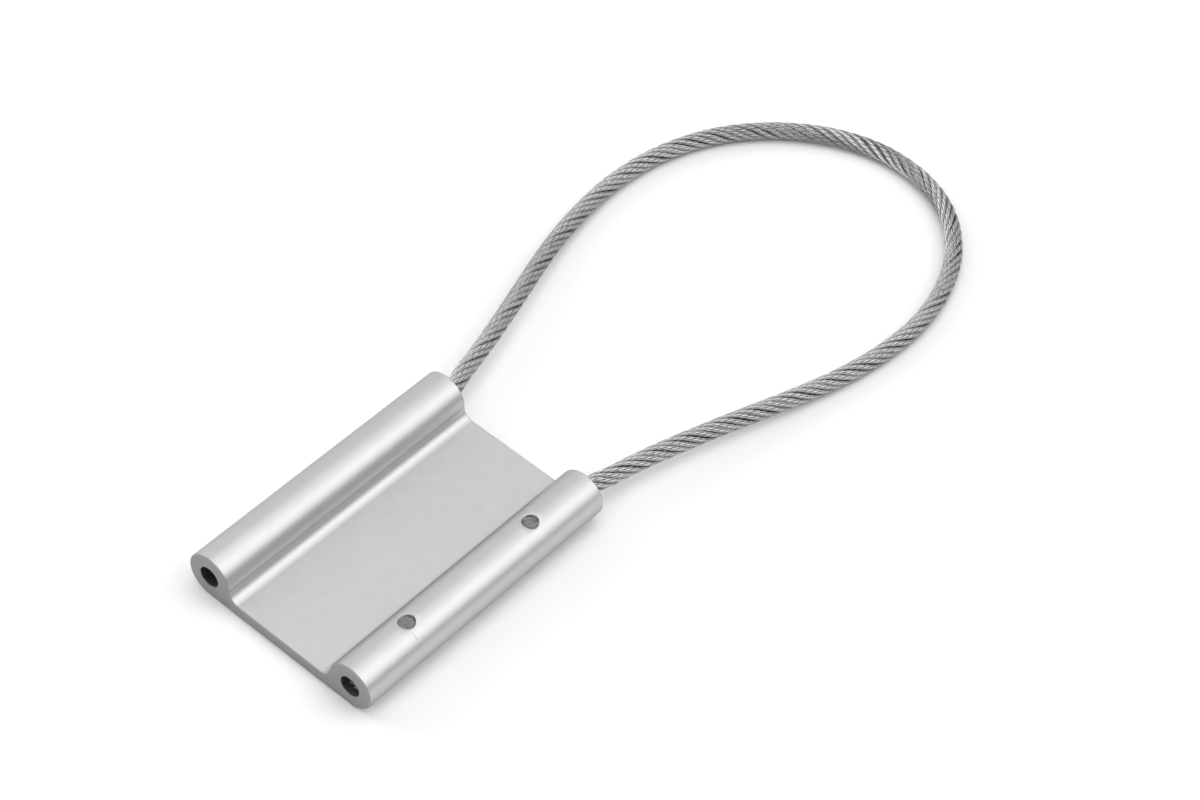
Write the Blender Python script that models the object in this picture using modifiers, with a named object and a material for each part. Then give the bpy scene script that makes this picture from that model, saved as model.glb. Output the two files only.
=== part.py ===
# Pull-tight cable seal: an aluminium extrusion with two barrels on a flat web, and a loop of wire rope.
# Metres, +Z up. The origin is the middle of the body's underside. +X runs from the lock barrel to the fixed
# barrel, and +Y from the plain front faces to the rear faces, where the rope loop leaves.
import math

import bmesh
import bpy
from mathutils import Vector

MM = 0.001

# Body: one extrusion, bored through both barrels
BODY_LENGTH = 43.4 * MM
BARREL_SPACING = 24.0 * MM
BARREL_DIAMETER = 6.8 * MM
WEB_THICKNESS = 1.8 * MM
ROOT_FILLET = 1.6 * MM
END_ROUND = 0.15 * MM
BORE_DIAMETER = 3.0 * MM

# Punch marks on the fixed barrel, which squeeze the bore on to the rope
PUNCH_DIAMETER = 2.4 * MM
PUNCH_TAPER = 0.2 * MM
PUNCH_DEPTH = 0.45 * MM
PUNCH_PLACES = ((-0.2 * MM, -11.6 * MM), (0.1 * MM, 10.9 * MM))
SQUEEZE_DIAMETER = 1.4 * MM
SQUEEZE_ROOT = 0.4 * MM

# Wire rope
ROPE_DIAMETER = 2.5 * MM
ROPE_STEP = 6.0 * MM
FIXED_END_SETBACK = 1.0 * MM
LOOP_INSET = 0.4 * MM
TAIL_SETBACK = 4.0 * MM

# Lock in the other barrel
LIP_THICKNESS = 0.8 * MM
CHAMBER_DIAMETER = 5.5 * MM
SLEEVE_ENTRY = 1.0 * MM
CONE_HALF_ANGLE = math.radians(7.0)
JAW_COUNT = 3
JAW_LENGTH = 5.4 * MM
JAW_TIP_WALL = 0.4 * MM
JAW_PROUD = 0.4 * MM
JAW_SPAN = math.radians(104.0)
TOOTH_PITCH = 0.6 * MM
TOOTH_DEPTH = 0.12 * MM
FOLLOWER_THICKNESS = 0.8 * MM
FOLLOWER_HUB = 0.6 * MM
SPRING_LENGTH = 7.5 * MM
SPRING_WIRE = 0.5 * MM
SPRING_DIAMETER = 4.2 * MM
SPRING_TURNS = 6
SPRING_POINTS_PER_TURN = 9

# Clearances
ROPE_JOINT_GAP = 0.3 * MM
PRESS_GAP = 0.05 * MM
GRIP_GAP = 0.08 * MM
CONE_GAP = 0.1 * MM
SEAT_GAP = 0.1 * MM
RUNNING_GAP = 0.15 * MM
JAW_TIP_ROOM = 0.4 * MM

# Free loop, from the fixed barrel's mouth round to the lock barrel's mouth, lying on the table at its far end
LOOP_ROUTE_MM = [
    (12.8, 26.0, 3.36), (13.4, 28.9, 3.32), (14.5, 33.4, 3.20), (16.1, 39.4, 2.89), (17.8, 45.6, 2.43),
    (19.6, 51.8, 1.95), (21.4, 58.2, 1.54), (23.0, 64.6, 1.31), (24.1, 71.4, 1.27), (24.3, 78.6, 1.27),
    (22.9, 86.4, 1.27), (19.5, 94.0, 1.27), (13.7, 100.0, 1.27), (7.0, 102.8, 1.27), (0.4, 103.1, 1.27),
    (-5.5, 101.4, 1.27), (-10.8, 98.2, 1.27), (-15.2, 94.1, 1.27), (-18.9, 89.0, 1.27), (-21.6, 83.0, 1.27),
    (-23.2, 76.3, 1.27), (-23.6, 69.2, 1.28), (-22.9, 62.0, 1.42), (-21.3, 54.4, 1.83), (-18.9, 46.6, 2.45),
    (-16.4, 39.0, 3.02), (-14.2, 31.6, 3.34), (-12.8, 26.0, 3.42),
]
MOUTH_RUN = 1.5 * MM

# Sizes that follow
BARREL_RADIUS = BARREL_DIAMETER / 2
BORE_RADIUS = BORE_DIAMETER / 2
ROPE_RADIUS = ROPE_DIAMETER / 2
CHAMBER_RADIUS = CHAMBER_DIAMETER / 2
REAR = BODY_LENGTH / 2
FIXED_X = BARREL_SPACING / 2
LOCK_X = -BARREL_SPACING / 2
AXIS_Z = BARREL_RADIUS

# Stations of the lock, measured from the rear face into the barrel
SLEEVE_START = LIP_THICKNESS + PRESS_GAP
JAW_TIP = SLEEVE_START + SLEEVE_ENTRY + JAW_TIP_ROOM
JAW_END = JAW_TIP + JAW_LENGTH
SLEEVE_END = JAW_END - JAW_PROUD
FOLLOWER_START = JAW_END + SEAT_GAP
FOLLOWER_END = FOLLOWER_START + FOLLOWER_THICKNESS
SPRING_START = FOLLOWER_END + SEAT_GAP
CHAMBER_END = SPRING_START + SPRING_LENGTH + SEAT_GAP
LOOP_END = FOLLOWER_START + FOLLOWER_THICKNESS / 2
TAIL_START = LOOP_END + ROPE_JOINT_GAP

JAW_GRIP_RADIUS = ROPE_RADIUS + GRIP_GAP
JAW_TIP_RADIUS = JAW_GRIP_RADIUS + TOOTH_DEPTH + JAW_TIP_WALL

ROUND_SEGMENTS = 48
BARREL_ARC_STEPS = 40
FILLET_ARC_STEPS = 8
JAW_ARC_STEPS = 10
ROUTE_SAMPLES = 16


def clear_scene():
    for thing in list(bpy.data.objects):
        bpy.data.objects.remove(thing, do_unlink=True)


def new_collection(name):
    collection = bpy.data.collections.new(name)
    bpy.context.scene.collection.children.link(collection)
    return collection


def make_material(name, colour, roughness):
    material = bpy.data.materials.new(name)
    material.use_nodes = True
    shader = material.node_tree.nodes["Principled BSDF"]
    shader.inputs["Base Color"].default_value = (*colour, 1.0)
    shader.inputs["Roughness"].default_value = roughness
    shader.inputs["Metallic"].default_value = 1.0
    return material


def add_part(thing, collection, material, parent=None):
    for old in list(thing.users_collection):
        old.objects.unlink(thing)
    collection.objects.link(thing)
    thing.data.materials.clear()
    thing.data.materials.append(material)
    thing.parent = parent
    return thing


def shade_round(mesh):
    mesh.shade_smooth()
    mesh.set_sharp_from_angle(angle=math.radians(30))


def barrel_axis(name, x, collection):
    # An empty at the centre of a barrel's rear face, with its Z axis running into the barrel
    axis = bpy.data.objects.new(name, None)
    axis.location = (x, REAR, AXIS_Z)
    axis.rotation_euler = (math.radians(90), 0, 0)
    axis.empty_display_size = BARREL_RADIUS
    collection.objects.link(axis)
    return axis


def add_cutter(thing, collection):
    for old in list(thing.users_collection):
        old.objects.unlink(thing)
    collection.objects.link(thing)
    thing.hide_render = True
    thing.display_type = "WIRE"
    return thing


def boolean(target, tool, operation):
    modifier = target.modifiers.new(f"{operation.lower()} {tool.name}", "BOOLEAN")
    modifier.operation = operation
    modifier.object = tool
    modifier.solver = "EXACT"


def bore_cutter(name, x, start, end, radius, collection):
    bpy.ops.mesh.primitive_cylinder_add(
        vertices=ROUND_SEGMENTS,
        radius=radius,
        depth=end - start,
        location=(x, REAR - (start + end) / 2, AXIS_Z),
        rotation=(math.radians(90), 0, 0),
    )
    cutter = bpy.context.active_object
    cutter.name = name
    return add_cutter(cutter, collection)


def taper_cutter(name, place, low, high, radius_low, radius_high, collection):
    # Upright cone over a place given across and along the fixed barrel
    bpy.ops.mesh.primitive_cone_add(
        vertices=ROUND_SEGMENTS,
        radius1=radius_low,
        radius2=radius_high,
        depth=high - low,
        location=(FIXED_X + place[0], place[1], (low + high) / 2),
    )
    cutter = bpy.context.active_object
    cutter.name = name
    return add_cutter(cutter, collection)


def arc(centre, radius, start, end, steps):
    points = []
    for i in range(steps + 1):
        angle = start + (end - start) * i / steps
        points.append((centre[0] + radius * math.cos(angle), centre[1] + radius * math.sin(angle)))
    return points


def body_outline():
    # Right half from the underside round the barrel and its root fillet to the web's top, then mirrored
    rise = WEB_THICKNESS + ROOT_FILLET - BARREL_RADIUS
    reach = math.sqrt((BARREL_RADIUS + ROOT_FILLET) ** 2 - rise**2)
    root_angle = math.atan2(rise, -reach) % (2 * math.pi)
    barrel = arc((FIXED_X, AXIS_Z), BARREL_RADIUS, -math.pi / 2, root_angle, BARREL_ARC_STEPS)
    fillet_centre = (FIXED_X - reach, WEB_THICKNESS + ROOT_FILLET)
    fillet = arc(fillet_centre, ROOT_FILLET, root_angle - math.pi, -math.pi / 2, FILLET_ARC_STEPS)
    right = barrel + fillet[1:]
    left = [(-x, z) for x, z in reversed(right)]
    return right + left


def mesh_from_curve(thing):
    # Closed mesh object in place of a filled curve
    bpy.context.view_layer.update()
    evaluated = thing.evaluated_get(bpy.context.evaluated_depsgraph_get())
    mesh = bpy.data.meshes.new_from_object(evaluated)
    bm = bmesh.new()
    bm.from_mesh(mesh)
    bmesh.ops.remove_doubles(bm, verts=bm.verts, dist=0.001 * MM)
    bmesh.ops.dissolve_limit(bm, angle_limit=math.radians(0.1), verts=bm.verts, edges=bm.edges)
    bmesh.ops.recalc_face_normals(bm, faces=bm.faces)
    bm.to_mesh(mesh)
    bm.free()
    solid = bpy.data.objects.new(thing.name, mesh)
    solid.matrix_world = thing.matrix_world
    bpy.context.scene.collection.objects.link(solid)
    bpy.data.objects.remove(thing, do_unlink=True)
    return solid


def make_body(parts, cutters, material):
    curve = bpy.data.curves.new("body_outline", "CURVE")
    curve.dimensions = "2D"
    curve.fill_mode = "BOTH"
    curve.extrude = BODY_LENGTH / 2
    outline = body_outline()
    spline = curve.splines.new("POLY")
    spline.points.add(len(outline) - 1)
    for point, (x, z) in zip(spline.points, outline):
        point.co = (x, z, 0, 1)
    spline.use_cyclic_u = True
    extrusion = bpy.data.objects.new("body_extrusion", curve)
    extrusion.rotation_euler = (math.radians(90), 0, 0)
    bpy.context.scene.collection.objects.link(extrusion)
    body = mesh_from_curve(extrusion)
    body.name = "seal_body"
    add_part(body, parts, material)
    ends = body.modifiers.new("end rounds", "BEVEL")
    ends.width = END_ROUND
    ends.segments = 2
    ends.limit_method = "ANGLE"
    ends.angle_limit = math.radians(60)

    past = BARREL_RADIUS
    boolean(body, bore_cutter("fixed_bore", FIXED_X, -past, BODY_LENGTH + past, BORE_RADIUS, cutters), "DIFFERENCE")
    boolean(body, bore_cutter("lock_bore", LOCK_X, -past, BODY_LENGTH + past, BORE_RADIUS, cutters), "DIFFERENCE")
    boolean(body, bore_cutter("chamber", LOCK_X, LIP_THICKNESS, CHAMBER_END, CHAMBER_RADIUS, cutters), "DIFFERENCE")
    crown = BARREL_DIAMETER
    floor = crown - PUNCH_DEPTH
    slope = PUNCH_TAPER / PUNCH_DEPTH
    for i, place in enumerate(PUNCH_PLACES, 1):
        radius_floor = PUNCH_DIAMETER / 2 - PUNCH_TAPER
        radius_above = PUNCH_DIAMETER / 2 + slope * past
        punch = taper_cutter(f"punch_{i}", place, floor, crown + past, radius_floor, radius_above, cutters)
        boolean(body, punch, "DIFFERENCE")
        low = AXIS_Z + ROPE_RADIUS + GRIP_GAP
        high = AXIS_Z + BORE_RADIUS + SQUEEZE_ROOT
        wide = PUNCH_DIAMETER / 2
        squeeze = taper_cutter(f"squeeze_{i}", place, low, high, SQUEEZE_DIAMETER / 2, wide, cutters)
        boolean(body, squeeze, "UNION")
    return body


def turned(name, profile, parent, parts, material):
    # Ring turned about its parent's Z axis; the profile runs down its outer side and back up its inner side
    mesh = bpy.data.meshes.new(name)
    verts = [(radius, 0, height) for radius, height in profile]
    edges = [(i, (i + 1) % len(verts)) for i in range(len(verts))]
    mesh.from_pydata(verts, edges, [])
    ring = bpy.data.objects.new(name, mesh)
    add_part(ring, parts, material, parent)
    screw = ring.modifiers.new("turn", "SCREW")
    screw.axis = "Z"
    screw.steps = ROUND_SEGMENTS
    screw.render_steps = ROUND_SEGMENTS
    screw.use_merge_vertices = True
    screw.merge_threshold = 0.001 * MM
    screw.use_smooth_shade = False
    return ring


def cone_radius(station):
    # Radius of the sleeve's conical bore, CONE_GAP clear of the jaws' backs
    tip = JAW_TIP_RADIUS + CONE_GAP / math.cos(CONE_HALF_ANGLE)
    return tip + (station - JAW_TIP) * math.tan(CONE_HALF_ANGLE)


def make_sleeve(axis, parts, material):
    outer = CHAMBER_RADIUS - PRESS_GAP
    cone_start = SLEEVE_START + SLEEVE_ENTRY
    profile = [
        (outer, SLEEVE_END),
        (outer, SLEEVE_START),
        (BORE_RADIUS, SLEEVE_START),
        (BORE_RADIUS, cone_start),
        (cone_radius(cone_start), cone_start),
        (cone_radius(SLEEVE_END), SLEEVE_END),
    ]
    return turned("taper_sleeve", profile, axis, parts, material)


def jaw_profile():
    # Back on the cone, teeth along the grip with their steep sides towards the front
    end_radius = JAW_TIP_RADIUS + JAW_LENGTH * math.tan(CONE_HALF_ANGLE)
    profile = [(JAW_TIP_RADIUS, JAW_TIP), (end_radius, JAW_END)]
    root = JAW_GRIP_RADIUS + TOOTH_DEPTH
    teeth = int(JAW_LENGTH / TOOTH_PITCH)
    profile.append((root, JAW_END))
    for i in range(teeth):
        station = JAW_END - i * TOOTH_PITCH
        profile.append((JAW_GRIP_RADIUS, station - TOOTH_DEPTH))
        profile.append((root, station - TOOTH_PITCH))
    if profile[-1][1] > JAW_TIP + TOOTH_DEPTH:
        profile.append((root, JAW_TIP))
    else:
        profile[-1] = (root, JAW_TIP)
    return profile


def make_jaw(index, axis, parts, material):
    name = f"lock_jaw_{index}"
    bm = bmesh.new()
    corners = [bm.verts.new((radius, 0, height)) for radius, height in jaw_profile()]
    face = bm.faces.new(corners)
    bmesh.ops.spin(
        bm,
        geom=[face, *face.edges, *face.verts],
        cent=(0, 0, 0),
        axis=(0, 0, 1),
        angle=JAW_SPAN,
        steps=JAW_ARC_STEPS,
    )
    bmesh.ops.recalc_face_normals(bm, faces=bm.faces)
    mesh = bpy.data.meshes.new(name)
    bm.to_mesh(mesh)
    bm.free()
    shade_round(mesh)
    jaw = bpy.data.objects.new(name, mesh)
    add_part(jaw, parts, material, axis)
    middle = math.pi / 2 + 2 * math.pi * (index - 1) / JAW_COUNT
    jaw.rotation_euler = (0, 0, middle - JAW_SPAN / 2)
    return jaw


def make_follower(axis, parts, material):
    outer = CHAMBER_RADIUS - RUNNING_GAP
    hub = SPRING_DIAMETER / 2 - SPRING_WIRE / 2 - RUNNING_GAP
    hub_end = FOLLOWER_END + FOLLOWER_HUB
    profile = [
        (hub, hub_end),
        (hub, FOLLOWER_END),
        (outer, FOLLOWER_END),
        (outer, FOLLOWER_START),
        (BORE_RADIUS, FOLLOWER_START),
        (BORE_RADIUS, hub_end),
    ]
    return turned("jaw_follower", profile, axis, parts, material)


def tube(name, points, diameter, resolution, parts, material, parent=None):
    curve = bpy.data.curves.new(name, "CURVE")
    curve.dimensions = "3D"
    curve.fill_mode = "FULL"
    curve.bevel_depth = diameter / 2
    curve.bevel_resolution = resolution
    curve.use_fill_caps = True
    spline = curve.splines.new("POLY")
    spline.points.add(len(points) - 1)
    for point, place in zip(spline.points, points):
        point.co = (*place, 1)
    return add_part(bpy.data.objects.new(name, curve), parts, material, parent)


def least_gap(points, diameter, skip):
    # Smallest clear distance between stretches of a tube that are at least skip points apart along it
    places = [Vector(p) for p in points]
    distances = []
    for i, place in enumerate(places):
        distances.extend((place - other).length for other in places[i + skip:])
    return min(distances) - diameter


def make_spring(axis, parts, material):
    radius = SPRING_DIAMETER / 2
    low = SPRING_START + SPRING_WIRE / 2
    rise = SPRING_LENGTH - SPRING_WIRE
    count = SPRING_TURNS * SPRING_POINTS_PER_TURN
    points = []
    for i in range(count + 1):
        angle = 2 * math.pi * i / SPRING_POINTS_PER_TURN
        points.append((radius * math.cos(angle), radius * math.sin(angle), low + rise * i / count))
    gap = least_gap(points, SPRING_WIRE, SPRING_POINTS_PER_TURN // 2)
    print(f"lock_spring least gap between turns: {gap / MM:.2f} mm")
    return tube("lock_spring", points, SPRING_WIRE, 1, parts, material, axis)


def smooth_curve(points):
    # Centripetal Catmull-Rom curve from the second point to the last but one
    line = [points[1]]
    for p0, p1, p2, p3 in zip(points, points[1:], points[2:], points[3:]):
        t0 = 0.0
        t1 = t0 + math.sqrt((p1 - p0).length)
        t2 = t1 + math.sqrt((p2 - p1).length)
        t3 = t2 + math.sqrt((p3 - p2).length)
        for i in range(1, ROUTE_SAMPLES + 1):
            t = t1 + (t2 - t1) * i / ROUTE_SAMPLES
            a1 = p0.lerp(p1, (t - t0) / (t1 - t0))
            a2 = p1.lerp(p2, (t - t1) / (t2 - t1))
            a3 = p2.lerp(p3, (t - t2) / (t3 - t2))
            b1 = a1.lerp(a2, (t - t0) / (t2 - t0))
            b2 = a2.lerp(a3, (t - t1) / (t3 - t1))
            line.append(b1.lerp(b2, (t - t1) / (t2 - t1)))
    return line


def even_points(line, step):
    # Points along a fine line at an even spacing close to step, with both ends kept
    lengths = [0.0]
    for a, b in zip(line, line[1:]):
        lengths.append(lengths[-1] + (b - a).length)
    count = round(lengths[-1] / step)
    points = []
    k = 0
    for i in range(count + 1):
        wanted = lengths[-1] * i / count
        while k < len(line) - 2 and lengths[k + 1] < wanted:
            k += 1
        share = (wanted - lengths[k]) / (lengths[k + 1] - lengths[k])
        points.append(line[k].lerp(line[k + 1], share))
    return points, lengths[-1]


def make_loop(parts, material):
    def on_axis(x, station):
        return Vector((x, REAR - station, AXIS_Z))

    route = [Vector(p) * MM for p in LOOP_ROUTE_MM]
    leave = [on_axis(FIXED_X, MOUTH_RUN), on_axis(FIXED_X, 0), on_axis(FIXED_X, -MOUTH_RUN)]
    arrive = [on_axis(LOCK_X, -MOUTH_RUN), on_axis(LOCK_X, 0), on_axis(LOCK_X, MOUTH_RUN)]
    line, free_length = even_points(smooth_curve(leave + route + arrive), ROPE_STEP)
    points = [on_axis(FIXED_X, LOOP_INSET), *line, on_axis(LOCK_X, LOOP_END)]
    print(f"cable_loop free length between the mouths: {free_length / MM:.1f} mm in {len(points)} points")
    return tube("cable_loop", points, ROPE_DIAMETER, 2, parts, material)


def main():
    clear_scene()
    parts = new_collection("cable_seal")
    cutters = new_collection("cable_seal_cutters")
    aluminium = make_material("satin_aluminium", (0.78, 0.785, 0.79), 0.34)
    rope = make_material("galvanised_rope", (0.50, 0.505, 0.51), 0.38)
    hardened = make_material("hardened_steel", (0.30, 0.30, 0.31), 0.35)
    spring_steel = make_material("spring_steel", (0.56, 0.55, 0.53), 0.28)

    fixed_axis = barrel_axis("fixed_axis", FIXED_X, parts)
    lock_axis = barrel_axis("lock_axis", LOCK_X, parts)
    make_body(parts, cutters, aluminium)
    make_sleeve(lock_axis, parts, hardened)
    for index in range(1, JAW_COUNT + 1):
        make_jaw(index, lock_axis, parts, hardened)
    make_follower(lock_axis, parts, spring_steel)
    make_spring(lock_axis, parts, spring_steel)
    make_loop(parts, rope)
    fixed_ends = [(0, 0, LOOP_INSET + ROPE_JOINT_GAP), (0, 0, BODY_LENGTH - FIXED_END_SETBACK)]
    tube("cable_fixed_end", fixed_ends, ROPE_DIAMETER, 2, parts, rope, fixed_axis)
    tail_ends = [(0, 0, TAIL_START), (0, 0, BODY_LENGTH - TAIL_SETBACK)]
    tube("cable_tail", tail_ends, ROPE_DIAMETER, 2, parts, rope, lock_axis)


main()
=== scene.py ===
import math

import bpy
import numpy as np
from mathutils import Matrix, Vector
from mathutils.kdtree import KDTree


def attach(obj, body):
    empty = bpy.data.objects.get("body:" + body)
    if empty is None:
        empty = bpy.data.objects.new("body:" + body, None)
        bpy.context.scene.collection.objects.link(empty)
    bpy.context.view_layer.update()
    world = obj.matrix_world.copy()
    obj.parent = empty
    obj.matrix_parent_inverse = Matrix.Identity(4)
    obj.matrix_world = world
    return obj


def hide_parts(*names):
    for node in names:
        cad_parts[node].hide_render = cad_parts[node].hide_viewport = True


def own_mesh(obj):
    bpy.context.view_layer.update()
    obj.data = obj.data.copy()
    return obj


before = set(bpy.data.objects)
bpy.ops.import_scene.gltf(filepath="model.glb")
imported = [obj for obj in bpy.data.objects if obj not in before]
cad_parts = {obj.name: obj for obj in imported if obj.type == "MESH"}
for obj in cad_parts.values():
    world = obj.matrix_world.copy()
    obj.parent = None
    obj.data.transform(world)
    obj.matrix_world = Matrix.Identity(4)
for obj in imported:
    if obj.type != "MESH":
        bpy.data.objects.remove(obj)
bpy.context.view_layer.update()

mm = 0.001
alongY = (0, 1, 0)
weldReach = 0.001 * mm  # points closer than this are one


# Selecting and drawing

def deselectAll():
    if bpy.context.mode != "OBJECT":
        bpy.ops.object.mode_set(mode="OBJECT")
    bpy.ops.object.select_all(action="DESELECT")


def pick(piece):
    deselectAll()
    piece.select_set(True)
    bpy.context.view_layer.objects.active = piece


def editAll(piece, kind="VERT"):
    pick(piece)
    bpy.ops.object.mode_set(mode="EDIT")
    bpy.ops.mesh.select_mode(type=kind)
    bpy.ops.mesh.select_all(action="SELECT")


def editEdges(piece, wanted):
    editAll(piece, "EDGE")
    bpy.ops.mesh.select_all(action="DESELECT")
    bpy.ops.object.mode_set(mode="OBJECT")
    corners = piece.data.vertices
    for edge in piece.data.edges:
        edge.select = wanted(corners[edge.vertices[0]].co, corners[edge.vertices[1]].co)
    bpy.ops.object.mode_set(mode="EDIT")


def beginLine(name, start):
    # one loose vertex, ready to be drawn out into an outline
    deselectAll()
    bpy.ops.mesh.primitive_plane_add(size=mm)
    piece = bpy.context.active_object
    piece.name = name
    piece.data.name = name
    bpy.ops.object.mode_set(mode="EDIT")
    bpy.ops.mesh.select_mode(type="VERT")
    bpy.ops.mesh.select_all(action="SELECT")
    bpy.ops.mesh.merge(type="CENTER")
    bpy.ops.transform.translate(value=start)
    return piece


def lineBy(step):
    bpy.ops.mesh.extrude_region_move(TRANSFORM_OT_translate={"value": step})


def lineThrough(points):
    for here, there in zip(points, points[1:]):
        lineBy(Vector(there) - Vector(here))


def arcBy(centre, degrees, steps):
    # seen from the front, a positive turn is anticlockwise
    bpy.ops.mesh.spin(steps=steps, angle=math.radians(degrees), center=centre, axis=alongY)


def weldAndFaceOut(piece):
    editAll(piece)
    bpy.ops.mesh.remove_doubles(threshold=weldReach)
    bpy.ops.mesh.normals_make_consistent(inside=False)
    bpy.ops.object.mode_set(mode="OBJECT")


def addModifier(piece, kind, **settings):
    pick(piece)
    modifier = piece.modifiers.new(kind.lower(), kind)
    for name, value in settings.items():
        setattr(modifier, name, value)
    bpy.ops.object.modifier_apply(modifier=modifier.name)


def cutWith(piece, cutter, operation="DIFFERENCE"):
    addModifier(piece, "BOOLEAN", object=cutter, operation=operation, solver="EXACT")
    bpy.data.objects.remove(cutter, do_unlink=True)


def softShade(piece, degrees):
    pick(piece)
    bpy.ops.object.shade_smooth_by_angle(angle=math.radians(degrees))
    addModifier(piece, "WEIGHTED_NORMAL", mode="FACE_AREA", weight=80, keep_sharp=True)


def vertexPlaces(piece):
    places = np.empty(len(piece.data.vertices) * 3)
    piece.data.vertices.foreach_get("co", places)
    return places.reshape(-1, 3)


def paintMask(piece, name, values):
    layer = piece.data.attributes.new(name, "FLOAT", "POINT")
    layer.data.foreach_set("value", np.asarray(values, np.float32))


def fitPiece(piece, finish, node, body):
    piece.data.materials.clear()
    piece.data.materials.append(finish)
    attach(piece, body)
    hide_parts(node)
    print(f"{piece.name}: {sum(len(face.vertices) - 2 for face in piece.data.polygons)} triangles")


def turnedShape(name, profile, axisX, steps, degrees=360, startDegrees=0, closed=True):
    # profile of (radius, y) turned about a barrel's axis
    start = math.radians(startDegrees)
    points = []
    for radius, y in profile:
        points.append((axisX + radius * math.cos(start), y, seal["axisZ"] + radius * math.sin(start)))
    if closed:
        points.append(points[0])
    piece = beginLine(name, points[0])
    lineThrough(points)
    bpy.ops.mesh.select_all(action="SELECT")
    if closed:
        bpy.ops.mesh.remove_doubles(threshold=weldReach)
    if degrees < 360:
        bpy.ops.mesh.edge_face_add()
    arcBy((axisX, 0, seal["axisZ"]), degrees, steps)
    weldAndFaceOut(piece)
    return piece


# Nodes for the finishes

def addNode(tree, kind, **values):
    node = tree.nodes.new(kind)
    for name, value in values.items():
        if hasattr(node, name):
            setattr(node, name, value)
        else:
            node.inputs[name.replace("_", " ")].default_value = value
    return node


def mathNode(tree, operation, first, second=None):
    node = tree.nodes.new("ShaderNodeMath")
    node.operation = operation
    for socket, value in zip(node.inputs, (first, second)):
        if isinstance(value, bpy.types.NodeSocket):
            tree.links.new(value, socket)
        elif value is not None:
            socket.default_value = value
    return node.outputs[0]


def mixColour(tree, share, first, second, blend="MIX"):
    node = tree.nodes.new("ShaderNodeMix")
    node.data_type = "RGBA"
    node.blend_type = blend
    for socket, value in zip((node.inputs[0], node.inputs[6], node.inputs[7]), (share, first, second)):
        if isinstance(value, bpy.types.NodeSocket):
            tree.links.new(value, socket)
        elif isinstance(value, (int, float)):
            socket.default_value = value
        else:
            socket.default_value = (*value, 1)
    return node.outputs[2]


def remap(tree, value, low, high, newLow, newHigh):
    node = tree.nodes.new("ShaderNodeMapRange")
    tree.links.new(value, node.inputs["Value"])
    for name, number in (("From Min", low), ("From Max", high), ("To Min", newLow), ("To Max", newHigh)):
        node.inputs[name].default_value = number
    return node.outputs[0]


def maskValue(tree, name):
    return addNode(tree, "ShaderNodeAttribute", attribute_name=name).outputs["Fac"]


def metalGrainGroup():
    # drawn lines, cloudy patches and tiny pits, worked out in millimetres
    group = bpy.data.node_groups.new("metalGrain", "ShaderNodeTree")
    for name in ("Across", "Along", "Patch", "Pit"):
        group.interface.new_socket(name, in_out="INPUT", socket_type="NodeSocketFloat")
    for name in ("Lines", "Patches", "Pits"):
        group.interface.new_socket(name, in_out="OUTPUT", socket_type="NodeSocketFloat")
    links = group.links
    inputs = group.nodes.new("NodeGroupInput")
    outputs = group.nodes.new("NodeGroupOutput")
    place = group.nodes.new("ShaderNodeTexCoord")
    inMm = group.nodes.new("ShaderNodeVectorMath")
    inMm.operation = "SCALE"
    inMm.inputs["Scale"].default_value = 1 / mm
    links.new(place.outputs["Object"], inMm.inputs[0])

    stretch = group.nodes.new("ShaderNodeCombineXYZ")
    links.new(inputs.outputs["Across"], stretch.inputs["X"])
    links.new(inputs.outputs["Along"], stretch.inputs["Y"])
    links.new(inputs.outputs["Across"], stretch.inputs["Z"])
    drawn = group.nodes.new("ShaderNodeVectorMath")
    drawn.operation = "MULTIPLY"
    links.new(inMm.outputs[0], drawn.inputs[0])
    links.new(stretch.outputs[0], drawn.inputs[1])
    lines = addNode(group, "ShaderNodeTexNoise", Scale=1.0, Detail=3.0, Roughness=0.6)
    links.new(drawn.outputs[0], lines.inputs["Vector"])
    links.new(lines.outputs["Fac"], outputs.inputs["Lines"])

    patches = addNode(group, "ShaderNodeTexNoise", Detail=4.0, Roughness=0.55)
    links.new(inMm.outputs[0], patches.inputs["Vector"])
    links.new(inputs.outputs["Patch"], patches.inputs["Scale"])
    links.new(patches.outputs["Fac"], outputs.inputs["Patches"])

    pits = addNode(group, "ShaderNodeTexNoise", Detail=2.0, Roughness=0.7)
    links.new(inMm.outputs[0], pits.inputs["Vector"])
    links.new(inputs.outputs["Pit"], pits.inputs["Scale"])
    links.new(pits.outputs["Fac"], outputs.inputs["Pits"])
    return group


# how much of each noise's range is stretched over a finish's two values
grainSpan = {
    "patch": (0.35, 0.65),
    "lineShade": (0.25, 0.75),
    "pitShade": (0.3, 0.7),
    "mottle": (0.38, 0.62),
    "rough": (0.3, 0.7),
}
bumpDepth = 0.01 * mm


def startMetal(name, grainScale):
    finish = bpy.data.materials.new(name)
    finish.use_nodes = True
    tree = finish.node_tree
    shader = tree.nodes["Principled BSDF"]
    shader.inputs["Metallic"].default_value = 1.0
    grain = tree.nodes.new("ShaderNodeGroup")
    grain.node_tree = metalGrain
    for socket, value in grainScale.items():
        grain.inputs[socket].default_value = value
    return finish, tree, shader, grain


def patchyColour(tree, grain, dull, bright):
    return mixColour(tree, remap(tree, grain.outputs["Patches"], *grainSpan["patch"], 0, 1), dull, bright)


def addBump(tree, shader, height, strength):
    bump = tree.nodes.new("ShaderNodeBump")
    bump.inputs["Strength"].default_value = strength
    bump.inputs["Distance"].default_value = bumpDepth
    tree.links.new(height, bump.inputs["Height"])
    tree.links.new(bump.outputs["Normal"], shader.inputs["Normal"])


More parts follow.
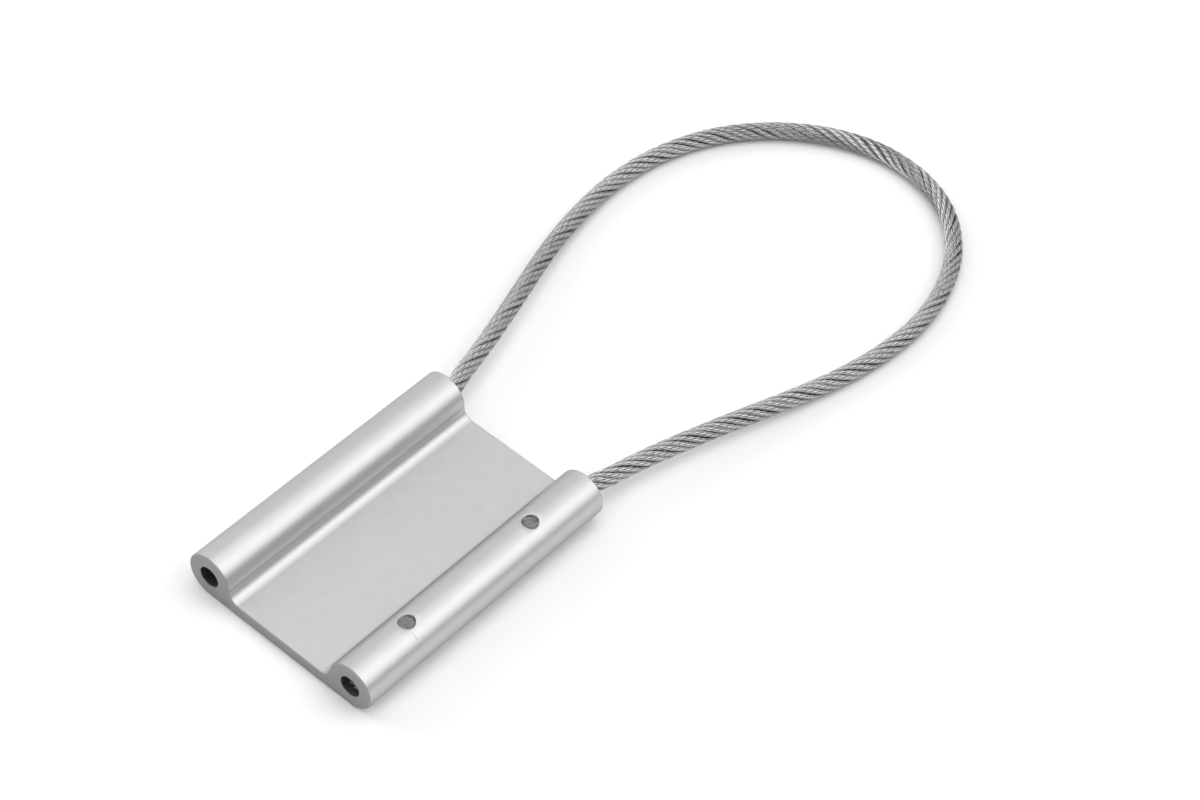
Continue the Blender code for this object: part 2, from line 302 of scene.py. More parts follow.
aluminium = {
    "grain": {"Across": 9.0, "Along": 0.12, "Patch": 0.5, "Pit": 2.6},
    "bright": (0.596, 0.596, 0.591),
    "dull": (0.574, 0.576, 0.574),
    "grazing": (0.5, 0.5, 0.5),
    # end faces: a sawn finish, painted darker as painted shade
    "sawnAndShaded": (0.36, 0.36, 0.355),
    # punch marks: a mottled punched floor, painted darker as painted shade in the recess
    "punchedAndShaded": (0.25, 0.247, 0.242),
    # bore walls: painted shade inside the holes
    "bored": (0.17, 0.17, 0.166),
    # rounded end edges: painted shade that holds back the highlight they catch
    "endEdgeShade": (0.37, 0.37, 0.365),
    "lineShade": (0.98, 1.02),
    "mottle": (0.72, 1.22),
    "roughness": (0.38, 0.44),
    "cutRoughness": 0.18,
    "bump": 0.12,
    "nickMiddle": (13.8 * mm, -12.3 * mm),
    "nickReach": 0.65 * mm,
    "nickFadeFrom": 0.6,
    "nickWidth": 0.14 * mm,
    "nickShade": 0.72,
}


def nickMask(tree):
    # one fine nick across the top of the fixed barrel, drawn as a dark line of painted shade
    middleX, middleY = aluminium["nickMiddle"]
    reach = aluminium["nickReach"]
    place = tree.nodes.new("ShaderNodeTexCoord")
    split = tree.nodes.new("ShaderNodeSeparateXYZ")
    tree.links.new(place.outputs["Object"], split.inputs[0])
    across = mathNode(tree, "ABSOLUTE", mathNode(tree, "SUBTRACT", split.outputs["X"], middleX))
    along = mathNode(tree, "ABSOLUTE", mathNode(tree, "SUBTRACT", split.outputs["Y"], middleY))
    inReach = remap(tree, across, aluminium["nickFadeFrom"] * reach, reach, 1, 0)
    inWidth = remap(tree, along, 0, aluminium["nickWidth"], 1, 0)
    onTop = mathNode(tree, "GREATER_THAN", split.outputs["Z"], seal["axisZ"])
    return mathNode(tree, "MULTIPLY", onTop, mathNode(tree, "MULTIPLY", inReach, inWidth))


def satinAluminium():
    finish, tree, shader, grain = startMetal("satinAluminium", aluminium["grain"])
    shader.inputs["Specular Tint"].default_value = (*aluminium["grazing"], 1)
    colour = patchyColour(tree, grain, aluminium["dull"], aluminium["bright"])
    shade = remap(tree, grain.outputs["Lines"], *grainSpan["lineShade"], *aluminium["lineShade"])
    colour = mixColour(tree, 1.0, colour, shade, "MULTIPLY")
    # the nick's dark line is painted shade
    nick = remap(tree, nickMask(tree), 0, 1, 1, aluminium["nickShade"])
    colour = mixColour(tree, 1.0, colour, nick, "MULTIPLY")
    # rounded end edges painted darker: painted shade over their reflected highlight
    colour = mixColour(tree, maskValue(tree, "endEdgeShade"), colour, aluminium["endEdgeShade"])
    # punch marks: a mottled punched floor, darkened as painted shade in the recess
    mottled = remap(tree, grain.outputs["Pits"], *grainSpan["mottle"], *aluminium["mottle"])
    punchedAndShaded = mixColour(tree, 1.0, aluminium["punchedAndShaded"], mottled, "MULTIPLY")
    colour = mixColour(tree, maskValue(tree, "punchedAndShaded"), colour, punchedAndShaded)
    # end faces: a rougher sawn finish, with painted shade for faces turned from the light
    colour = mixColour(tree, maskValue(tree, "sawnAndShaded"), colour, aluminium["sawnAndShaded"])
    # bore and chamber walls painted dark: painted shade inside the holes
    colour = mixColour(tree, maskValue(tree, "bored"), colour, aluminium["bored"])
    tree.links.new(colour, shader.inputs["Base Color"])
    rough = remap(tree, grain.outputs["Lines"], *grainSpan["rough"], *aluminium["roughness"])
    cut = mathNode(tree, "MAXIMUM", maskValue(tree, "sawnAndShaded"), maskValue(tree, "punchedAndShaded"))
    cut = mathNode(tree, "MAXIMUM", cut, maskValue(tree, "endEdgeShade"))
    rough = mathNode(tree, "ADD", rough, mathNode(tree, "MULTIPLY", cut, aluminium["cutRoughness"]))
    tree.links.new(rough, shader.inputs["Roughness"])
    addBump(tree, shader, grain.outputs["Lines"], aluminium["bump"])
    return finish


wire = {
    "grain": {"Across": 2.5, "Along": 2.5, "Patch": 1.1, "Pit": 5.0},
    "bright": (0.435, 0.435, 0.428),
    "dull": (0.33, 0.33, 0.324),
    # wire crowns: painted highlight
    "crown": (0.63, 0.63, 0.62),
    # grooves between strands: painted shade
    "grooveShade": (0.325, 0.325, 0.319),
    "cut": (0.42, 0.42, 0.415),
    "grazing": (0.3, 0.3, 0.3),
    "pitShade": (0.8, 1.2),
    "roughness": (0.18, 0.30),
    "cutRoughness": 0.6,
    "crownHighlightFrom": 0.80,
    "bump": 0.25,
}


def galvanisedWire():
    finish, tree, shader, grain = startMetal("galvanisedWire", wire["grain"])
    shader.inputs["Specular Tint"].default_value = (*wire["grazing"], 1)
    colour = patchyColour(tree, grain, wire["dull"], wire["bright"])
    shade = remap(tree, grain.outputs["Pits"], *grainSpan["pitShade"], *wire["pitShade"])
    colour = mixColour(tree, 1.0, colour, shade, "MULTIPLY")
    # painted highlight: each wire is painted lighter where it comes to the outside of its strand, on the
    # rope's outside
    facingOut = mathNode(tree, "COSINE", maskValue(tree, "twist"))
    crown = remap(tree, facingOut, wire["crownHighlightFrom"], 1, 0, 1)
    crown = mathNode(tree, "MULTIPLY", crown, maskValue(tree, "outside"))
    colour = mixColour(tree, crown, colour, wire["crown"])
    # grooves between strands painted darker: painted shade
    colour = mixColour(tree, maskValue(tree, "grooveShade"), colour, wire["grooveShade"])
    colour = mixColour(tree, maskValue(tree, "cut"), colour, wire["cut"])
    tree.links.new(colour, shader.inputs["Base Color"])
    rough = remap(tree, grain.outputs["Pits"], *grainSpan["rough"], *wire["roughness"])
    cutRough = mathNode(tree, "MULTIPLY", maskValue(tree, "cut"), wire["cutRoughness"])
    rough = mathNode(tree, "MAXIMUM", rough, cutRough)
    tree.links.new(rough, shader.inputs["Roughness"])
    addBump(tree, shader, grain.outputs["Pits"], wire["bump"])
    return finish


steels = {
    "hardenedSteel": {"bright": (0.36, 0.36, 0.37), "dull": (0.24, 0.24, 0.25), "roughness": (0.28, 0.44)},
    "springSteel": {"bright": (0.62, 0.61, 0.59), "dull": (0.48, 0.47, 0.45), "roughness": (0.20, 0.34)},
}
turning = {
    "grain": {"Across": 0.6, "Along": 11.0, "Patch": 0.8, "Pit": 4.0},
    "lineShade": (0.85, 1.12),
    "bump": 0.2,
}


def turnedSteel(name):
    # tool rings round the barrel's axis
    look = steels[name]
    finish, tree, shader, grain = startMetal(name, turning["grain"])
    colour = patchyColour(tree, grain, look["dull"], look["bright"])
    shade = remap(tree, grain.outputs["Lines"], *grainSpan["lineShade"], *turning["lineShade"])
    colour = mixColour(tree, 1.0, colour, shade, "MULTIPLY")
    tree.links.new(colour, shader.inputs["Base Color"])
    rough = remap(tree, grain.outputs["Lines"], *grainSpan["rough"], *look["roughness"])
    tree.links.new(rough, shader.inputs["Roughness"])
    addBump(tree, shader, grain.outputs["Lines"], turning["bump"])
    return finish


metalGrain = metalGrainGroup()


# Camera, at the photograph's viewing angle

shot = {
    "lens": 90.0,
    "sensor": 36.0,
    "azimuth": 34.85,
    "elevation": 47.77,
    "roll": 7.61,
    "distance": 401.7 * mm,
    "target": (1.498 * mm, 37.80 * mm, 0),
    "clipStart": 10 * mm,
}


def makeCamera():
    azimuth, elevation, roll = (math.radians(shot[name]) for name in ("azimuth", "elevation", "roll"))
    level = math.cos(elevation)
    back = Vector((math.sin(azimuth) * level, -math.cos(azimuth) * level, math.sin(elevation)))
    right = Vector((math.cos(azimuth), math.sin(azimuth), 0))
    up = back.cross(right)
    rolledRight = right * math.cos(roll) + up * math.sin(roll)
    rolledUp = up * math.cos(roll) - right * math.sin(roll)
    lens = bpy.data.cameras.new("camera")
    lens.lens = shot["lens"]
    lens.sensor_width = shot["sensor"]
    lens.clip_start = shot["clipStart"]
    camera = bpy.data.objects.new("camera", lens)
    bpy.context.scene.collection.objects.link(camera)
    turn = Matrix((rolledRight, rolledUp, back)).transposed().to_4x4()
    camera.matrix_world = Matrix.Translation(Vector(shot["target"]) + back * shot["distance"]) @ turn
    bpy.context.scene.camera = camera
    print("camera at", [round(c, 4) for c in camera.location])


makeCamera()


# Studio: white floor that keeps the shadow, a pale sky behind and five soft lights in it

studio = {
    "floorColour": (0.975, 0.975, 0.975),
    "floorSize": 8.0,
    "floorDrop": 0.02 * mm,
    "skyAzimuth": 117,
    "skyElevation": 9,
    "skySpan": (-0.09, 0.52),
    "sky": (0.0, 0.90),
}
# azimuth turns from +X towards +Y, and reach is where a light fades out and where it is full, in degrees
softLights = {
    "backLight": {"azimuth": 26, "elevation": 45, "reach": (35, 17), "level": 1.56},
    "sideLight": {"azimuth": 193, "elevation": 24, "reach": (19, 13), "level": 3.2},
    "frontLight": {"azimuth": 270, "elevation": 5, "reach": (30, 11), "level": 2.35},
    "highLight": {"azimuth": 270, "elevation": 47, "reach": (15.5, 12.5), "level": 2.5},
    "topLight": {"azimuth": 176, "elevation": 88, "reach": (26, 14), "level": 1.92},
}


def makeFloor():
    deselectAll()
    bpy.ops.mesh.primitive_plane_add(size=studio["floorSize"], location=(0, 0, -studio["floorDrop"]))
    floor = bpy.context.active_object
    floor.name = "floor"
    finish = bpy.data.materials.new("whiteFloor")
    finish.use_nodes = True
    tree = finish.node_tree
    tree.nodes.clear()
    lit = addNode(tree, "ShaderNodeBsdfDiffuse", Color=(*studio["floorColour"], 1))
    out = tree.nodes.new("ShaderNodeOutputMaterial")
    tree.links.new(lit.outputs[0], out.inputs["Surface"])
    floor.data.materials.append(finish)


def skyDirection(azimuth, elevation):
    azimuth, elevation = math.radians(azimuth), math.radians(elevation)
    level = math.cos(elevation)
    return Vector((level * math.cos(azimuth), level * math.sin(azimuth), math.sin(elevation)))


def towardsSky(tree, place, azimuth, elevation):
    towards = tree.nodes.new("ShaderNodeVectorMath")
    towards.operation = "DOT_PRODUCT"
    towards.inputs[1].default_value = skyDirection(azimuth, elevation)
    tree.links.new(place.outputs["Generated"], towards.inputs[0])
    return towards.outputs["Value"]


def makeSky():
    world = bpy.data.worlds.new("studioSky")
    bpy.context.scene.world = world
    world.use_nodes = True
    tree = world.node_tree
    place = tree.nodes.new("ShaderNodeTexCoord")
    facing = towardsSky(tree, place, studio["skyAzimuth"], studio["skyElevation"])
    level = remap(tree, facing, *studio["skySpan"], *studio["sky"])
    for light in softLights.values():
        facing = towardsSky(tree, place, light["azimuth"], light["elevation"])
        fade, full = (math.cos(math.radians(reach)) for reach in light["reach"])
        level = mathNode(tree, "ADD", level, remap(tree, facing, fade, full, 0, light["level"]))
    tree.links.new(level, tree.nodes["Background"].inputs["Strength"])
    tree.nodes["Background"].inputs["Color"].default_value = (1, 1, 1, 1)


makeFloor()
makeSky()
bpy.context.scene.view_settings.view_transform = "Standard"
print("studio lit by the sky and", len(softLights), "soft lights")


# Seal body: an extrusion with two barrels, each with a bore through it, on a flat web

seal = {
    "length": 43.4 * mm,
    "barrelSpacing": 24.0 * mm,
    "barrelRadius": 3.4 * mm,
    "web": 1.8 * mm,
    "rootFillet": 1.6 * mm,
    "endRound": 0.15 * mm,
    "endSteps": 4,
    "boreRadius": 1.5 * mm,
    "mouthRound": 0.10 * mm,
    "mouthSteps": 6,
    "mouthLift": 0.94,
    "lip": 0.8 * mm,
    "chamberRadius": 2.75 * mm,
    "chamberEnd": 16.25 * mm,
    "barrelSteps": 132,
    "filletSteps": 20,
    "boreSteps": 96,
    "creaseAngle": 35,
}
seal["rear"] = seal["length"] / 2
seal["front"] = -seal["length"] / 2
seal["lockX"] = -seal["barrelSpacing"] / 2
seal["fixedX"] = seal["barrelSpacing"] / 2
seal["axisZ"] = seal["barrelRadius"]

# places are across and along the fixed barrel; wall and rim are (radius, depth) in mm
punch = {
    "places": [(-0.2 * mm, -11.6 * mm), (0.1 * mm, 10.9 * mm)],
    "floorDepth": 0.45 * mm,
    "wall": [(0.84, 0.45), (0.95, 0.42), (1.01, 0.35), (1.12, 0.11)],
    "rim": [(1.15, 0.06), (1.20, 0.025), (1.28, 0.0), (1.36, -0.02)],
    "steps": 72,
    "bandReach": 1.9 * mm,
}


def bodyExtrusion():
    radius, fillet, web = seal["barrelRadius"], seal["rootFillet"], seal["web"]
    rise = web + fillet - radius
    reach = math.sqrt((radius + fillet) ** 2 - rise**2)
    rootDrop = math.degrees(math.atan2(-rise, reach))
    lockX, fixedX, front, axisZ = seal["lockX"], seal["fixedX"], seal["front"], seal["axisZ"]
    body = beginLine("sealBody", (lockX, front, 0))
    arcBy((lockX, front, axisZ), -(270 + rootDrop), seal["barrelSteps"])
    arcBy((lockX + reach, front, web + fillet), 90 + rootDrop, seal["filletSteps"])
    lineBy((fixedX - lockX - 2 * reach, 0, 0))
    arcBy((fixedX - reach, front, web + fillet), 90 + rootDrop, seal["filletSteps"])
    arcBy((fixedX, front, axisZ), -(270 + rootDrop), seal["barrelSteps"])
    bpy.ops.mesh.select_all(action="SELECT")
    bpy.ops.mesh.edge_face_add()
    lineBy((0, seal["length"], 0))
    weldAndFaceOut(body)

    def onEnd(a, b):
        return abs(a.y - b.y) < weldReach and abs(abs(a.y) - seal["rear"]) < weldReach

    editEdges(body, onEnd)
    bpy.ops.mesh.bevel(offset=seal["endRound"], segments=seal["endSteps"], profile=0.5, affect="EDGES")
    for _, y in punch["places"]:
        for side in (-1, 1):
            bpy.ops.mesh.select_all(action="SELECT")
            bpy.ops.mesh.bisect(plane_co=(0, y + side * punch["bandReach"], 0), plane_no=alongY)
    bpy.ops.object.mode_set(mode="OBJECT")
    return body


def mouthArc(end):
    # rounded mouth of a bore in an end face, from outside to inside
    out = -1 if end == seal["front"] else 1
    edge, steps = seal["mouthRound"], seal["mouthSteps"]
    centreY = end - out * edge * seal["mouthLift"]
    arc = []
    for i in range(steps + 1):
        angle = math.radians(90 * i / steps)
        radius = seal["boreRadius"] + edge * (1 - math.sin(angle))
        arc.append((radius, centreY + out * edge * math.cos(angle)))
    return arc


def boreCutter(name, axisX, inside=()):
    past = seal["barrelRadius"]
    wide = seal["boreRadius"] + seal["mouthRound"]
    front, rear = seal["front"], seal["rear"]
    profile = [(0, front - past), (wide, front - past), *mouthArc(front), *inside]
    profile += [*reversed(mouthArc(rear)), (wide, rear + past), (0, rear + past)]
    return turnedShape(name, profile, axisX, seal["boreSteps"], closed=False)


def lockChamber():
    shoulder = seal["rear"] - seal["chamberEnd"]
    lip = seal["rear"] - seal["lip"]
    bore, wide = seal["boreRadius"], seal["chamberRadius"]
    return [(bore, shoulder), (wide, shoulder), (wide, lip), (bore, lip)]


def punchCutter(aside, y):
    # flat-ended punch whose rim follows the barrel's crown
    crown = 2 * seal["barrelRadius"]
    above = crown + seal["barrelRadius"]
    x = seal["fixedX"] + aside
    rings = [(0, punch["floorDepth"] / mm), *punch["wall"], *punch["rim"]]
    points = [(x + radius * mm, y, crown - depth * mm) for radius, depth in rings]
    points += [(points[-1][0], y, above), (x, y, above)]
    cutter = beginLine("punchCutter", points[0])
    lineThrough(points)
    bpy.ops.mesh.select_all(action="SELECT")
    bpy.ops.mesh.spin(steps=punch["steps"], angle=2 * math.pi, center=(x, y, 0), axis=(0, 0, 1))
    weldAndFaceOut(cutter)
    wallTop = punch["wall"][-1][0] * mm
    for corner in cutter.data.vertices:
        across = corner.co.x - seal["fixedX"]
        away = math.hypot(corner.co.x - x, corner.co.y - y)
        if away > wallTop - weldReach and corner.co.z < above - weldReach:
            corner.co.z -= seal["barrelRadius"] - math.sqrt(seal["barrelRadius"] ** 2 - across**2)
    return cutter


# how far each painted finish and painted shade reaches from the ends, the punch marks and the bores
bodyPaint = {
    "sawnAndShadedReach": 0.002 * mm,
    "endEdgeShadeShare": 0.99,
    "punchedAndShadedReach": 1.3 * mm,
    "sunkFrom": 0.03 * mm,
    "sunkOver": 0.08 * mm,
    "boreShadeReach": 0.05 * mm,
}


def paintBody(body):
    places = vertexPlaces(body)
    fromEnd = seal["rear"] - np.abs(places[:, 1])
    # end faces and their rounded edges carry painted shade
    sawnAndShaded, endEdgeShade = bodyPaint["sawnAndShadedReach"], bodyPaint["endEdgeShadeShare"] * seal["endRound"]
    paintMask(body, "sawnAndShaded", fromEnd < sawnAndShaded)
    # rounded end edges: painted shade
    paintMask(body, "endEdgeShade", (fromEnd > sawnAndShaded) & (fromEnd < endEdgeShade))
    across = places[:, 0] - seal["fixedX"]
    away = np.min([np.hypot(across - aside, places[:, 1] - y) for aside, y in punch["places"]], axis=0)
    inFixed = np.hypot(across, places[:, 2] - seal["axisZ"])
    inLock = np.hypot(places[:, 0] - seal["lockX"], places[:, 2] - seal["axisZ"])
    # the punch mask grows with depth into the recess: painted shade
    depth = seal["barrelRadius"] - inFixed
    sunk = np.clip((depth - bodyPaint["sunkFrom"]) / bodyPaint["sunkOver"], 0, 1)
    above = places[:, 2] > seal["axisZ"] + seal["boreRadius"]
    paintMask(body, "punchedAndShaded", np.where((away < bodyPaint["punchedAndShadedReach"]) & above, sunk, 0))
    # bore and chamber walls: painted shade
    past = bodyPaint["boreShadeReach"]
    inside = np.minimum(inFixed, inLock) < seal["boreRadius"] + past
    inside |= (inLock < seal["chamberRadius"] + past) & (fromEnd > seal["endRound"])
    paintMask(body, "bored", inside)


def makeBody():
    body = bodyExtrusion()
    cutWith(body, boreCutter("fixedBore", seal["fixedX"]))
    cutWith(body, boreCutter("lockBore", seal["lockX"], lockChamber()))
    for aside, y in punch["places"]:
        cutWith(body, punchCutter(aside, y))
    softShade(body, seal["creaseAngle"])
    paintBody(body)
    fitPiece(body, satinAluminium(), "seal_body", "body")


makeBody()


# Wire rope: eight strands of six wires round their cores, right-hand lay

rope = {
    "gauge": 2.5 * mm,
    "radius": 1.28 * mm,
    "strands": 8,
    "wires": 6,
    "strandLay": 14.4 * mm,
    "wireLay": 5.1 * mm,
    "step": 0.62 * mm,
    "mouthRun": 1.5 * mm,
    "fixedSetback": 1.0 * mm,
    "loopInset": 0.4 * mm,
    "loopEnd": 8.15 * mm,
    "tailStart": 8.45 * mm,
    "tailSetback": 4.0 * mm,
    "wireRadius": 0.125 * mm,
    "wirePhase": 0.5,
    "roundness": 1,
    "strandFlat": 0.62,
    "strayTurn": 0.07,
    "strayLength": 31 * mm,
    "strayPhase": 1.9,
    # where the painted groove shade is full and where it ends, as shares of the rope's radius
    "grooveShadeFrom": 0.78,
    "grooveShadeTo": 0.90,
    "outsideFrom": 0.89,
    "outsideTo": 0.95,
    "cutStations": 2,
    "drawnKeep": 0.924,
}

# free loop from the fixed barrel's mouth to the lock barrel's mouth, in mm
loopRoute = [
    (12.8, 26.0, 3.36), (13.4, 28.9, 3.32), (14.5, 33.4, 3.20), (16.1, 39.4, 2.89), (17.8, 45.6, 2.43),
    (19.6, 51.8, 1.95), (21.4, 58.2, 1.54), (23.0, 64.6, 1.31), (24.1, 71.4, 1.27), (24.3, 78.6, 1.27),
    (22.9, 86.4, 1.27), (19.5, 94.0, 1.27), (13.7, 100.0, 1.27), (7.0, 102.8, 1.27), (0.4, 103.1, 1.27),
    (-5.5, 101.4, 1.27), (-10.8, 98.2, 1.27), (-15.2, 94.1, 1.27), (-18.9, 89.0, 1.27), (-21.6, 83.0, 1.27),
    (-23.2, 76.3, 1.27), (-23.6, 69.2, 1.28), (-22.9, 62.0, 1.42), (-21.3, 54.4, 1.83), (-18.9, 46.6, 2.45),
    (-16.4, 39.0, 3.02), (-14.2, 31.6, 3.34), (-12.8, 26.0, 3.42),
]


def inBarrel(x, station):
    return Vector((x, seal["rear"] - station, seal["axisZ"]))


def smoothRoute(points, samples=16):
    # centripetal Catmull-Rom curve from the second point to the last but one
    line = [points[1]]
    for p0, p1, p2, p3 in zip(points, points[1:], points[2:], points[3:]):
        t0 = 0.0
        t1 = t0 + math.sqrt((p1 - p0).length)
        t2 = t1 + math.sqrt((p2 - p1).length)
        t3 = t2 + math.sqrt((p3 - p2).length)
        for i in range(1, samples + 1):
            t = t1 + (t2 - t1) * i / samples
            a1 = p0.lerp(p1, (t - t0) / (t1 - t0))
            a2 = p1.lerp(p2, (t - t1) / (t2 - t1))
            a3 = p2.lerp(p3, (t - t2) / (t3 - t2))
            b1 = a1.lerp(a2, (t - t0) / (t2 - t0))
            b2 = a2.lerp(a3, (t - t1) / (t3 - t1))
            line.append(b1.lerp(b2, (t - t1) / (t2 - t1)))
    return line


def evenLine(points, step):
    line = np.array([list(p) for p in points])
    lengths = np.r_[0, np.cumsum(np.linalg.norm(np.diff(line, axis=0), axis=1))]
    stations = np.linspace(0, lengths[-1], round(lengths[-1] / step) + 1)
    return np.stack([np.interp(stations, lengths, line[:, k]) for k in range(3)], axis=1), stations


def unit(vectors):
    return vectors / np.linalg.norm(vectors, axis=1, keepdims=True)


def strandShape():
    # how far a strand's wires stand from its middle, outwards and sideways
    # the strands are pressed flat until they touch
    rise = 2 * rope["wireRadius"] * rope["strandFlat"]
    halfPitch = (rope["radius"] - rope["wireRadius"] - rise) * math.sin(math.pi / rope["strands"])
    return rise, halfPitch - rope["wireRadius"]


def acrossRope(line):
    ahead = unit(np.gradient(line, axis=0))
    side = unit(np.cross(ahead, (0, 0, 1)))
    return side, np.cross(ahead, side)


def ropeStrands(line, along):
    # centre line of each strand, and its way out from the rope's middle
    side, under = acrossRope(line)
    out = rope["radius"] - rope["wireRadius"] - strandShape()[0]
    strands = []
    for k in range(rope["strands"]):
        turn = 2 * math.pi * (along / rope["strandLay"] + k / rope["strands"])
        stray = 2 * math.pi * along / rope["strayLength"] + rope["strayPhase"] * k
        turn += rope["strayTurn"] * np.sin(stray)
        outward = side * np.cos(turn)[:, None] + under * np.sin(turn)[:, None]
        strands.append((line + out * outward, outward))
    return strands


def ropeWires(line, along, wholeCore):
    # centre line, radius and twist round its strand of each wire, for a rope along a line
    wireRadius = rope["wireRadius"]
    rise, spread = strandShape()
    coreRadius = rope["radius"] - 2 * (wireRadius + rise)
    hidden = np.full(len(line), math.pi)
    wires = []
    for k, (strand, outward) in enumerate(ropeStrands(line, along)):
        strandAhead = unit(np.gradient(strand, axis=0))
        strandSide = np.cross(strandAhead, outward)
        if wholeCore:
            wires.append((strand, wireRadius, hidden))
        for j in range(rope["wires"]):
            twist = 2 * math.pi * (j / rope["wires"] - along / rope["wireLay"]) + rope["wirePhase"] * k
            offset = outward * rise * np.cos(twist)[:, None] + strandSide * spread * np.sin(twist)[:, None]
            wires.append((strand + offset, wireRadius, twist))
    if not wholeCore:
        wires.append((line, coreRadius, hidden))
        return wires
    coreWire = coreRadius / 3  # seven wires, three across
    side, under = acrossRope(line)
    wires.append((line, coreWire, hidden))
    for j in range(rope["wires"]):
        twist = 2 * math.pi * (j / rope["wires"] + along / rope["strandLay"])
        offset = side * np.cos(twist)[:, None] + under * np.sin(twist)[:, None]
        wires.append((line + 2 * coreWire * offset, coreWire, hidden))
    return wires


def tubesAlong(name, centreLines, roundness, creaseAngle=70):
    # one mesh of capped tubes, from their centre lines and radii
    curve = bpy.data.curves.new(name, "CURVE")
    curve.dimensions = "3D"
    curve.fill_mode = "FULL"
    curve.bevel_depth = 1.0  # each point's radius scales it
    curve.bevel_resolution = roundness
    curve.use_fill_caps = True
    for centreLine, radius in centreLines:
        spline = curve.splines.new("POLY")
        spline.points.add(len(centreLine) - 1)
        spline.points.foreach_set("co", np.c_[centreLine, np.ones(len(centreLine))].ravel())
        spline.points.foreach_set("radius", np.full(len(centreLine), radius))
    piece = bpy.data.objects.new(name, curve)
    bpy.context.scene.collection.objects.link(piece)
    pick(piece)
    bpy.ops.object.convert(target="MESH")
    piece = bpy.context.active_object
    weldAndFaceOut(piece)
    pick(piece)
    bpy.ops.object.shade_smooth_by_angle(angle=math.radians(creaseAngle))
    return piece


def ropePiece(name, line, along, wholeCore):
    wires = ropeWires(line, along, wholeCore)
    piece = tubesAlong(name, [(centre, radius) for centre, radius, _ in wires], rope["roundness"])
    paintRope(piece, line, wires)
    return piece


def dense(values, parts=5):
    places = np.linspace(0, len(values) - 1, parts * (len(values) - 1) + 1)
    columns = np.asarray(values).reshape(len(values), -1).T
    return np.stack([np.interp(places, np.arange(len(values)), column) for column in columns], axis=1)


def nearestOn(lines, places):
    # how far each place is from the lines, and which dense point of them is nearest
    tree = KDTree(sum(len(line) for line in lines))
    for i, point in enumerate(np.concatenate(lines)):
        tree.insert(point, i)
    tree.balance()
    found = [tree.find(place) for place in places]
    return np.array([distance for _, _, distance in found]), np.array([i for _, i, _ in found])


def paintRope(piece, line, wires):
    # painted shade in the grooves, and outsides, by how far out they are, cut ends, and each wire's twist
    # round its strand
    places = vertexPlaces(piece)
    distance, station = nearestOn([dense(line)], places)
    out = distance / rope["radius"]
    paintMask(piece, "cut", (station < rope["cutStations"]) | (station > station.max() - rope["cutStations"]))
    # the deeper into the rope, the more painted shade
    grooveShade = np.clip((rope["grooveShadeTo"] - out) / (rope["grooveShadeTo"] - rope["grooveShadeFrom"]), 0, 1)
    paintMask(piece, "grooveShade", grooveShade)
    outside = np.clip((out - rope["outsideFrom"]) / (rope["outsideTo"] - rope["outsideFrom"]), 0, 1)
    paintMask(piece, "outside", outside)
    nearest = nearestOn([dense(centre) for centre, _, _ in wires], places)[1]
    paintMask(piece, "twist", np.concatenate([dense(twist)[:, 0] for _, _, twist in wires])[nearest])


def makeRope():
    finish = galvanisedWire()
    fixedX, lockX, run = seal["fixedX"], seal["lockX"], rope["mouthRun"]
    leave = [inBarrel(fixedX, station) for station in (run, 0, -run)]
    arrive = [inBarrel(lockX, station) for station in (-run, 0, run)]
    free = smoothRoute(leave + [Vector(p) * mm for p in loopRoute] + arrive)
    loopPoints = [inBarrel(fixedX, rope["loopInset"]), *free, inBarrel(lockX, rope["loopEnd"])]
    line, along = evenLine(loopPoints, rope["step"])
    loop = ropePiece("ropeLoop", line, along, False)
    fitPiece(loop, finish, "cable_loop", "body")
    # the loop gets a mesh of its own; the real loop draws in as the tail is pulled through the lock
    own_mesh(loop)

    # the crimped end goes on from the loop's start, and the tail from its other end
    fixedEnds = [inBarrel(fixedX, seal["length"] - rope["fixedSetback"]), inBarrel(fixedX, rope["loopInset"])]
    line, before = evenLine(fixedEnds, rope["step"])
    fixedEnd = ropePiece("ropeFixedEnd", line, before - before[-1], True)
    fitPiece(fixedEnd, finish, "cable_fixed_end", "body")
    tailEnds = [inBarrel(lockX, rope["tailStart"]), inBarrel(lockX, seal["length"] - rope["tailSetback"])]
    line, after = evenLine(tailEnds, rope["step"])
    tail = ropePiece("ropeTail", line, after + along[-1], True)
    fitPiece(tail, finish, "cable_tail", "tail")


makeRope()


# One-way lock in the other barrel; profiles are (radius, station) in mm, stations inwards from the rear face

lock = {
    "sleeve": [(1.5, 0.85), (2.70, 0.85), (2.70, 7.25), (2.565, 7.25), (1.902, 1.85), (1.5, 1.85)],
    "jawBack": [(1.85, 2.25), (2.513, 7.65)],
    "jawGrip": 1.33,
    "teeth": 9,
    "toothPitch": 0.60,
    "toothDepth": 0.12,
    "jawSpan": 104,
    "jawMiddles": (90, 210, 330),
    "jawSteps": 26,
    "follower": [(1.5, 7.75), (2.60, 7.75), (2.60, 8.55), (1.70, 8.55), (1.70, 9.15), (1.5, 9.15)],
    "ringSteps": 72,
    "edgeRound": 0.04 * mm,
    "creaseAngle": 40,
}
coil = {
    "start": 8.65,
    "end": 16.15,
    "radius": 2.1,
    "wire": 0.5,
    "closedPitch": 0.6,
    "openTurns": 4,
    "pointsPerTurn": 48,
    "roundness": 2,
    "pressedKeep": 0.867,
}


def lockProfile(stations):
    return [(radius * mm, seal["rear"] - station * mm) for radius, station in stations]


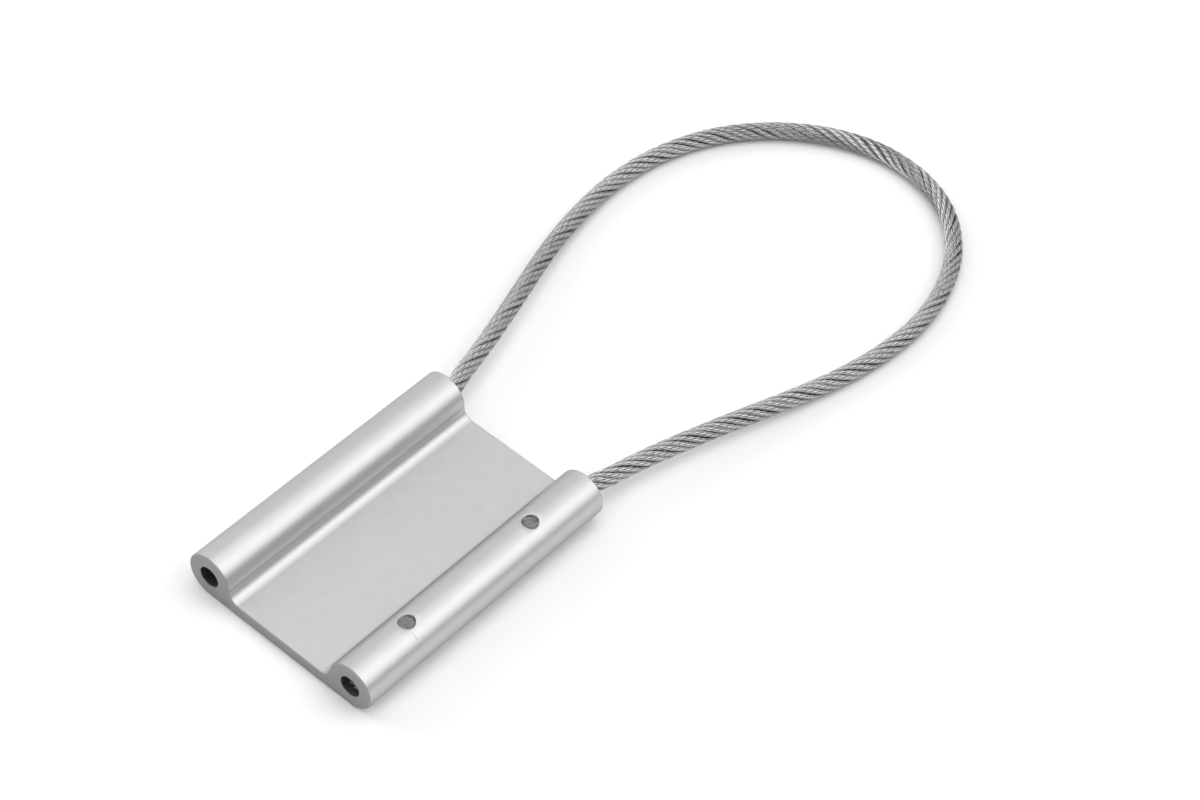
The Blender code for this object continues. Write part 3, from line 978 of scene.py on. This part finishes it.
def jawProfile():
    grip, depth, pitch = lock["jawGrip"], lock["toothDepth"], lock["toothPitch"]
    end = lock["jawBack"][1][1]
    outline = [*lock["jawBack"], (grip + depth, end)]
    for tooth in range(lock["teeth"]):
        heel = end - tooth * pitch
        outline += [(grip, heel - depth), (grip + depth, heel - pitch)]
    return outline


def coilLine():
    # closed turns at both ends, open ones between
    whole = coil["end"] - coil["start"] - coil["wire"]
    openPitch = (whole - 2 * coil["closedPitch"]) / coil["openTurns"]
    pitches = [coil["closedPitch"], *[openPitch] * coil["openTurns"], coil["closedPitch"]]
    count = coil["pointsPerTurn"]
    turns = np.arange(len(pitches) * count + 1) / count
    rise = np.interp(turns, range(len(pitches) + 1), np.cumsum([0, *pitches]))
    stations = coil["start"] + coil["wire"] / 2 + rise
    angles = 2 * math.pi * turns
    x = seal["lockX"] + coil["radius"] * mm * np.cos(angles)
    z = seal["axisZ"] + coil["radius"] * mm * np.sin(angles)
    return np.stack([x, seal["rear"] - stations * mm, z], axis=1)


def softenEdges(piece):
    addModifier(piece, "BEVEL", width=lock["edgeRound"], segments=2, limit_method="ANGLE",
                angle_limit=math.radians(lock["creaseAngle"]))
    softShade(piece, lock["creaseAngle"])


def makeLock():
    hardened, bright = turnedSteel("hardenedSteel"), turnedSteel("springSteel")
    lockX = seal["lockX"]
    sleeve = turnedShape("taperSleeve", lockProfile(lock["sleeve"]), lockX, lock["ringSteps"])
    softenEdges(sleeve)
    fitPiece(sleeve, hardened, "taper_sleeve", "body")
    for number, middle in enumerate(lock["jawMiddles"], 1):
        start = middle - lock["jawSpan"] / 2
        profile = lockProfile(jawProfile())
        jaw = turnedShape(f"lockJaw{number}", profile, lockX, lock["jawSteps"], lock["jawSpan"], start)
        softenEdges(jaw)
        fitPiece(jaw, hardened, f"lock_jaw_{number}", f"jaw_{number}")
    follower = turnedShape("jawFollower", lockProfile(lock["follower"]), lockX, lock["ringSteps"])
    softenEdges(follower)
    fitPiece(follower, bright, "jaw_follower", "follower")
    spring = tubesAlong("lockSpring", [(coilLine(), coil["wire"] * mm / 2)], coil["roundness"])
    fitPiece(spring, bright, "lock_spring", "body")
    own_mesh(spring)


makeLock()
